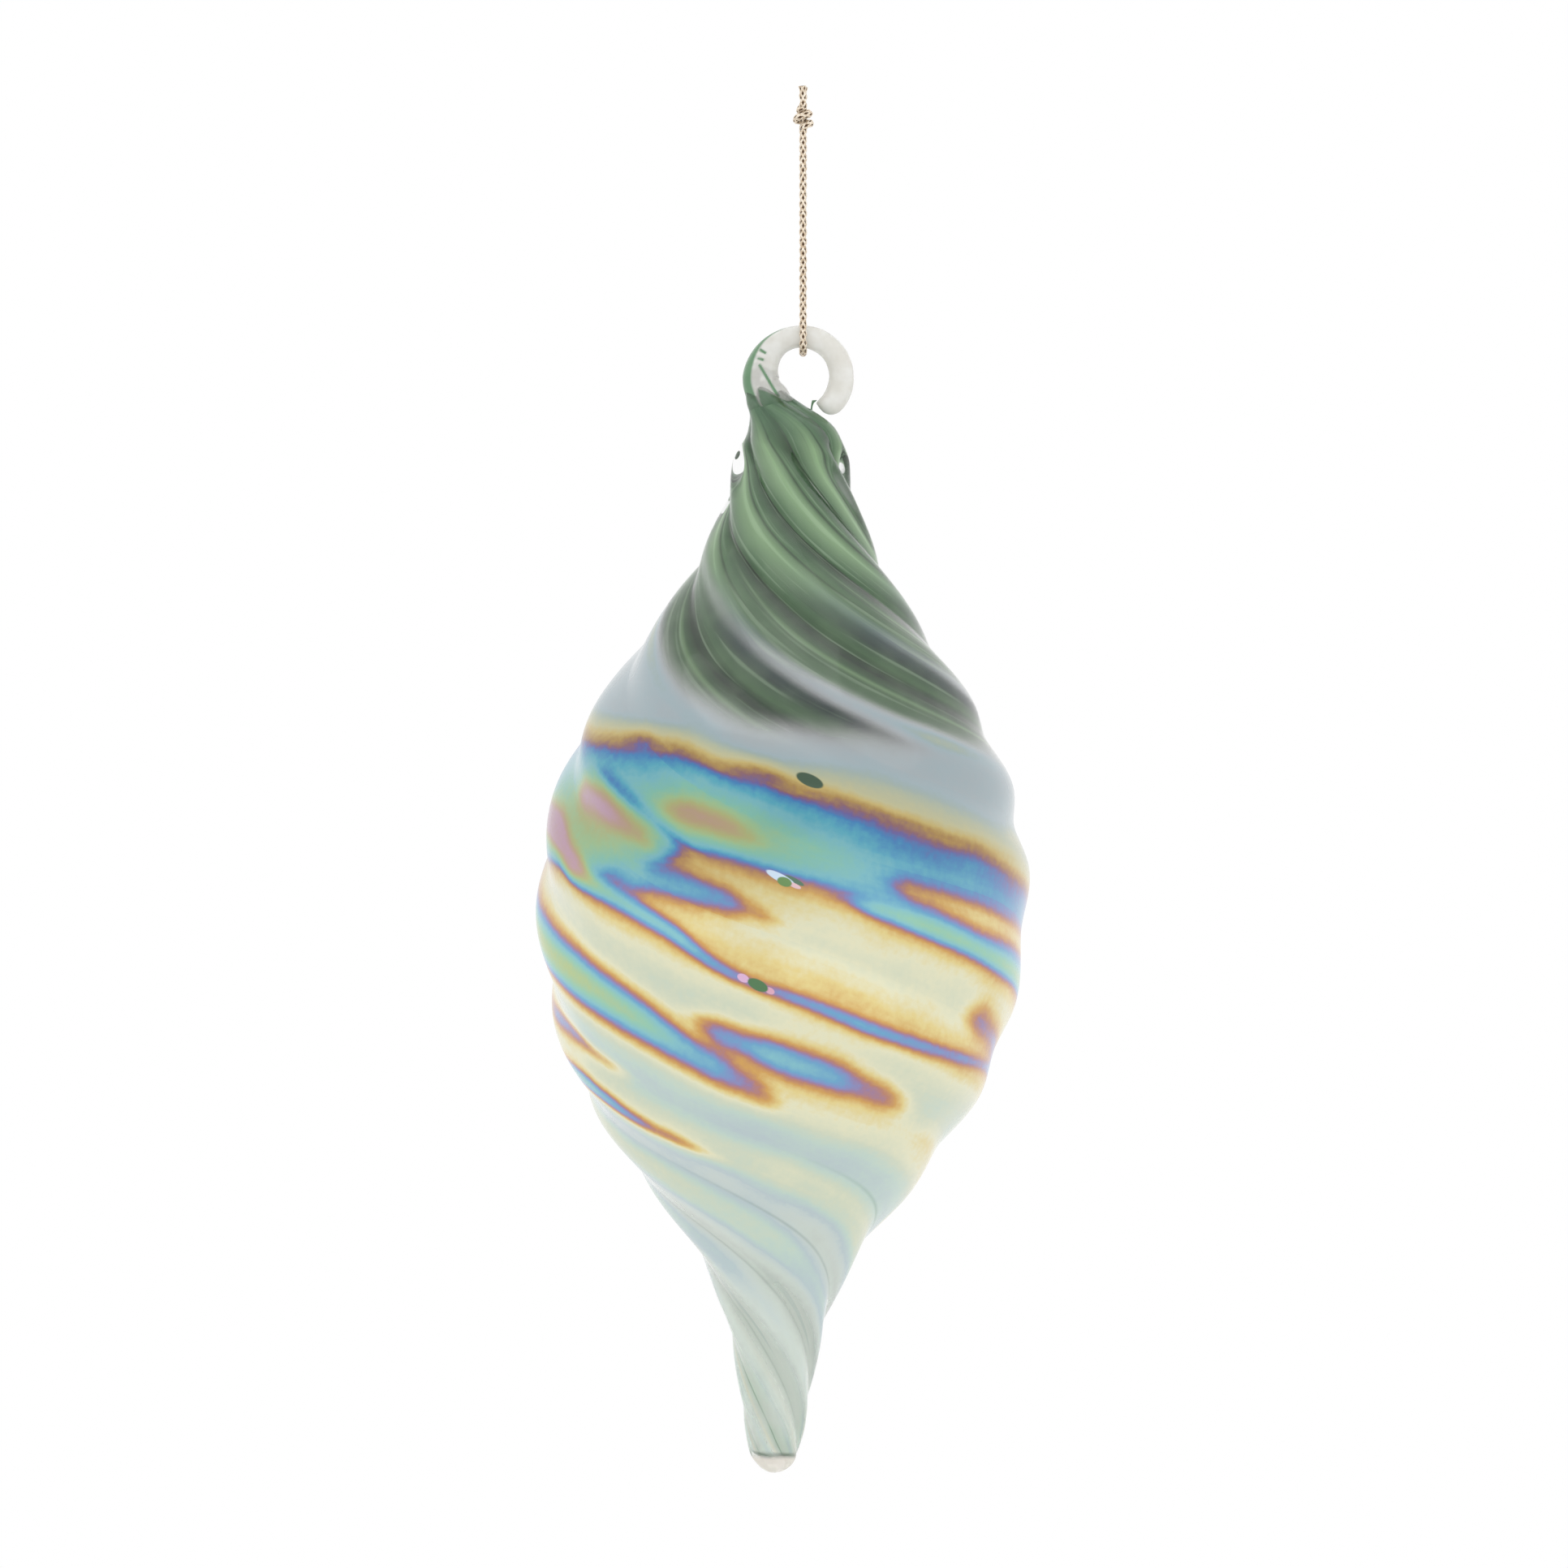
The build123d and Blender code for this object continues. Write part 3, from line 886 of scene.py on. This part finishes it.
def casing_material():
    """Clear glass at the neck, an iridescent metallic film from the belly down, and a milky end, with painted
    shade in the lower grooves and painted reflections of the camera's opening.
    """
    material, nodes, links, shader = new_material("clear_casing_glass")
    film = attribute(nodes, "film")
    lines = fine_lines(nodes, links, across_rib(nodes, links), attribute(nodes, "height"), 7, 3.0)
    streaky = math(nodes, links, "MULTIPLY", math(nodes, links, "SUBTRACT", lines, 0.5), 0.07)
    centred = [math(nodes, links, "SUBTRACT", noise_value(nodes, links, scale), 0.5) for scale in (900, 90)]
    grain, drift = [math(nodes, links, "MULTIPLY", value, 0.05) for value in centred]
    change = math(nodes, links, "ADD", math(nodes, links, "ADD", grain, drift), streaky)
    change = math(nodes, links, "MULTIPLY", change, fade(nodes, links, film, 0.0, 0.3))
    film = math(nodes, links, "ADD", film, change)
    colour = ramp(nodes, links, film, FILM_COLOURS)
    pale = ramp(nodes, links, film, LOW_FILM_COLOURS)
    low = math(nodes, links, "SUBTRACT", 1.0, fade(nodes, links, attribute(nodes, "height"), 84, 103))
    colour = mix_colours(nodes, links, low, colour, pale)
    # Painted shade: grey-green lines in the grooves of the lower body, fading out between 38 and 54 mm up.
    groove_shade_tones = [(0.0, grey(0.5)), (0.035, grey(0)), (0.965, grey(0)), (1.0, grey(0.5))]
    groove_shade = ramp(nodes, links, across_rib(nodes, links), groove_shade_tones)
    below = math(nodes, links, "SUBTRACT", 1.0, fade(nodes, links, attribute(nodes, "height"), 38, 54))
    painted_groove_shade = math(nodes, links, "MULTIPLY", groove_shade, below)
    colour = mix_colours(nodes, links, painted_groove_shade, colour, srgb(96, 138, 116))
    # Painted reflections of the camera's opening and pale painted glints, laid over the film's colour.
    for centre, half_length, half_width, slope, tone in CAMERA_REFLECTION_OVALS:
        reflection_oval = oval(nodes, links, centre, half_length, half_width, slope)
        colour = mix_colours(nodes, links, reflection_oval, colour, tone)
    cover = fade(nodes, links, film, 0.0, 0.26)
    end = math(nodes, links, "SUBTRACT", 1.0, fade(nodes, links, attribute(nodes, "height"), 2.2, 3.4))
    milk = math(nodes, links, "MULTIPLY", end, 0.75)
    colour = mix_colours(nodes, links, cover, grey(1), colour)
    links.new(mix_colours(nodes, links, end, colour, srgb(246, 240, 230)), shader.inputs["Base Color"])
    opaque = math(nodes, links, "MAXIMUM", cover, milk)
    links.new(math(nodes, links, "SUBTRACT", 1.0, opaque), shader.inputs["Transmission Weight"])
    links.new(math(nodes, links, "MULTIPLY", cover, 0.35), shader.inputs["Metallic"])
    roughness = math(nodes, links, "ADD", math(nodes, links, "MULTIPLY", cover, 0.22), 0.015)
    links.new(roughness, shader.inputs["Roughness"])
    shader.inputs["IOR"].default_value = 1.5
    links.new(math(nodes, links, "MULTIPLY", cover, 0.5), shader.inputs["Coat Weight"])
    shader.inputs["Coat Roughness"].default_value = 0.04
    return material


# Tones of the green neck across one rib, from one groove to the next, lighter on the crests as painted
# highlight and darker into the grooves as painted shade, first high up ...
NECK_TONES_WITH_PAINTED_LIGHT = [
    (0.00, srgb(21, 49, 25)), (0.03, srgb(80, 125, 80)), (0.16, srgb(104, 142, 103)),
    (0.34, srgb(142, 179, 133)), (0.46, srgb(164, 204, 150)), (0.56, srgb(116, 152, 110)),
    (0.60, srgb(38, 74, 40)), (0.63, srgb(91, 135, 89)), (0.74, srgb(70, 112, 72)),
    (0.90, srgb(44, 82, 46)), (0.97, srgb(32, 66, 34)), (1.00, srgb(21, 49, 25)),
]
# ... and then near the film's edge, with a silver-blue painted highlight on the crest, slate painted shade
# beside it and darker grooves as painted shade.
SHOULDER_TONES_WITH_PAINTED_LIGHT = [
    (0.00, srgb(38, 74, 40)), (0.06, srgb(91, 129, 87)), (0.16, srgb(80, 114, 80)), (0.25, srgb(48, 70, 66)),
    (0.36, srgb(51, 72, 80)), (0.46, srgb(118, 139, 144)), (0.56, srgb(93, 129, 91)), (0.74, srgb(80, 118, 76)),
    (0.78, srgb(133, 171, 122)), (0.82, srgb(74, 114, 72)), (0.92, srgb(27, 59, 30)), (1.00, srgb(38, 74, 40)),
]
# Tones across one rib of the pale lower body, with a grey-blue painted shade stripe along each rib and darker
# green painted shade in the grooves.
TIP_TONES_WITH_PAINTED_SHADE = [
    (0.00, srgb(122, 172, 132)), (0.04, srgb(226, 250, 228)), (0.20, srgb(240, 255, 238)),
    (0.36, srgb(228, 250, 232)), (0.48, srgb(190, 220, 218)), (0.56, srgb(216, 244, 230)),
    (0.66, srgb(252, 255, 238)), (0.74, srgb(255, 252, 214)), (0.82, srgb(244, 255, 236)),
    (0.95, srgb(224, 248, 226)), (1.00, srgb(122, 172, 132)),
]


def across_rib(nodes, links):
    """0 to 1 from one groove to the next, a half on the crest."""
    angle = math(nodes, links, "ARCTAN2", attribute(nodes, "flank"), attribute(nodes, "crest"))
    return math(nodes, links, "ADD", math(nodes, links, "DIVIDE", angle, 2 * pi), 0.5)


def fine_lines(nodes, links, place, height, across, seed):
    """Hair-thin streaks that run along the ribs."""
    joined = nodes.new("ShaderNodeCombineXYZ")
    links.new(math(nodes, links, "MULTIPLY", place, across), joined.inputs["X"])
    links.new(math(nodes, links, "MULTIPLY", height, 0.05), joined.inputs["Y"])
    joined.inputs["Z"].default_value = seed
    node = nodes.new("ShaderNodeTexNoise")
    node.inputs["Scale"].default_value = 1.0
    node.inputs["Detail"].default_value = 3.0
    links.new(joined.outputs["Vector"], node.inputs["Vector"])
    return node.outputs["Fac"]


def core_material():
    """Green glass at the neck, paling to mint at the tip, with darker lines along the ribs, painted highlights
    on the crests and painted shade in the grooves.
    """
    material, nodes, links, shader = new_material("green_core_glass")
    height = attribute(nodes, "height")
    place = across_rib(nodes, links)
    # Rib tones of the green glass with painted highlights on the crests and painted shade in the grooves.
    neck = ramp(nodes, links, place, NECK_TONES_WITH_PAINTED_LIGHT)
    shoulder = ramp(nodes, links, place, SHOULDER_TONES_WITH_PAINTED_LIGHT)
    lower = ramp(nodes, links, place, TIP_TONES_WITH_PAINTED_SHADE)
    upper = mix_colours(nodes, links, fade(nodes, links, height, 126, 146), shoulder, neck)
    light = fade(nodes, links, fine_lines(nodes, links, place, height, 12, 1.0), 0.54, 0.7)
    dark = fade(nodes, links, fine_lines(nodes, links, place, height, 9, 7.0), 0.54, 0.7)
    mottle = fade(nodes, links, noise_value(nodes, links, 160), 0.35, 0.75)
    drift = fade(nodes, links, noise_value(nodes, links, 90), 0.4, 0.6)
    upper = mix_colours(nodes, links, math(nodes, links, "MULTIPLY", light, 0.4), upper, srgb(196, 226, 190))
    upper = mix_colours(nodes, links, math(nodes, links, "MULTIPLY", dark, 0.35), upper, srgb(36, 72, 44))
    upper = mix_colours(nodes, links, math(nodes, links, "MULTIPLY", mottle, 0.15), upper, srgb(170, 200, 160))
    lower = mix_colours(nodes, links, math(nodes, links, "MULTIPLY", drift, 0.6), lower, srgb(248, 255, 246))
    lower = mix_colours(nodes, links, math(nodes, links, "MULTIPLY", dark, 0.35), lower, srgb(150, 190, 180))
    colour = mix_colours(nodes, links, fade(nodes, links, height, 60, 100), lower, upper)
    colour = mix_colours(nodes, links, fade(nodes, links, height, 3.2, 3.7), srgb(104, 150, 112), colour)
    colour = mix_colours(nodes, links, fade(nodes, links, height, 2.7, 3.1), srgb(244, 238, 228), colour)
    top = math(nodes, links, "MULTIPLY", fade(nodes, links, height, 159, 166), 0.75)
    colour = mix_colours(nodes, links, top, colour, srgb(86, 130, 94))
    links.new(colour, shader.inputs["Base Color"])
    shader.inputs["Roughness"].default_value = 0.3
    shader.inputs["Specular IOR Level"].default_value = 0.4
    return material


def hook_material():
    """Milky glass with the neck's green in its root, up its outer skin and in a few flecks."""
    material, nodes, links, shader = new_material("hook_glass")
    green = attribute(nodes, "green")
    cloud = fade(nodes, links, noise_value(nodes, links, 350), 0.3, 0.7)
    milk = mix_colours(nodes, links, cloud, srgb(240, 238, 230), srgb(252, 252, 248))
    colour = mix_colours(nodes, links, green, milk, srgb(104, 144, 108))
    links.new(colour, shader.inputs["Base Color"])
    clearness = math(nodes, links, "SUBTRACT", 0.4, math(nodes, links, "MULTIPLY", green, 0.3))
    links.new(clearness, shader.inputs["Transmission Weight"])
    shader.inputs["Roughness"].default_value = 0.2
    shader.inputs["IOR"].default_value = 1.5
    return material


def strand_material():
    """Champagne-gold metallic yarn with fine filaments."""
    material, nodes, links, shader = new_material("metallic_strand")
    spots = fade(nodes, links, noise_value(nodes, links, 2600), 0.3, 0.7)
    colour = mix_colours(nodes, links, spots, srgb(206, 182, 152), srgb(255, 244, 226))
    links.new(colour, shader.inputs["Base Color"])
    roughness = math(nodes, links, "ADD", math(nodes, links, "MULTIPLY", spots, 0.15), 0.25)
    links.new(roughness, shader.inputs["Roughness"])
    shader.inputs["Metallic"].default_value = 0.45
    return material


def thread_material():
    """Dark brown thread that shows in the braid's gaps."""
    material, nodes, links, shader = new_material("braid_core_thread")
    spots = noise_value(nodes, links, 3000)
    colour = mix_colours(nodes, links, spots, srgb(70, 46, 30), srgb(112, 82, 58))
    links.new(colour, shader.inputs["Base Color"])
    shader.inputs["Roughness"].default_value = 0.8
    return material


def floor_material():
    material, nodes, links, shader = new_material("pale_floor")
    tone = noise_value(nodes, links, 4)
    links.new(mix_colours(nodes, links, tone, grey(0.86), grey(0.9)), shader.inputs["Base Color"])
    shader.inputs["Roughness"].default_value = 0.9
    return material


# ---- Studio -----------------------------------------------------------------------
FRONT_DIMNESS = 0.92        # of the white surroundings, where they lie behind the camera


def add_floor(material):
    """Plain pale round floor, well below the tip."""
    radius, height, sides = 0.75, CASING_LOW.z - 0.12, 96
    turns = [2 * pi * k / sides for k in range(sides)]
    rim = [(radius * cos(turn), radius * sin(turn), height) for turn in turns]
    floor = new_object("floor", rim, [tuple(range(sides))], [material], smooth=False)


def add_softbox(name, place, target, size, power):
    data = bpy.data.lights.new(name, "AREA")
    data.shape = "RECTANGLE"
    data.size, data.size_y = size
    data.energy = power
    light = bpy.data.objects.new(name, data)
    bpy.context.collection.objects.link(light)
    light.location = place
    light.rotation_euler = (Vector(target) - Vector(place)).to_track_quat("-Z", "Y").to_euler()


def add_studio():
    world = bpy.data.worlds.new("studio")
    world.use_nodes = True
    background = world.node_tree.nodes["Background"]
    background.inputs["Color"].default_value = (1, 1, 1, 1)
    nodes, links = world.node_tree.nodes, world.node_tree.links
    coordinates = nodes.new("ShaderNodeTexCoord")
    split = nodes.new("ShaderNodeSeparateXYZ")
    links.new(coordinates.outputs["Generated"], split.inputs["Vector"])
    strength = fade(nodes, links, split.outputs["Y"], -0.95, 0.1, FRONT_DIMNESS)
    links.new(strength, background.inputs["Strength"])
    bpy.context.scene.world = world
    target = (0, 0, -0.12)
    add_softbox("key", (-0.9, -1.0, 0.5), target, (1.2, 1.2), 0.7)
    add_softbox("fill", (0.7, -0.9, 0.1), target, (1.3, 1.3), 0.8)
    add_softbox("top", (0, 0.1, 1.1), target, (1.2, 1.2), 1.5)
    bpy.context.scene.view_settings.view_transform = "Standard"


def main():
    add_camera()
    add_cord([strand_material(), thread_material()])
    add_casing(casing_material())
    add_core(core_material())
    hook_glass = hook_material()
    add_hook(hook_glass)
    add_whisker(hook_glass)
    add_floor(floor_material())
    add_studio()


main()
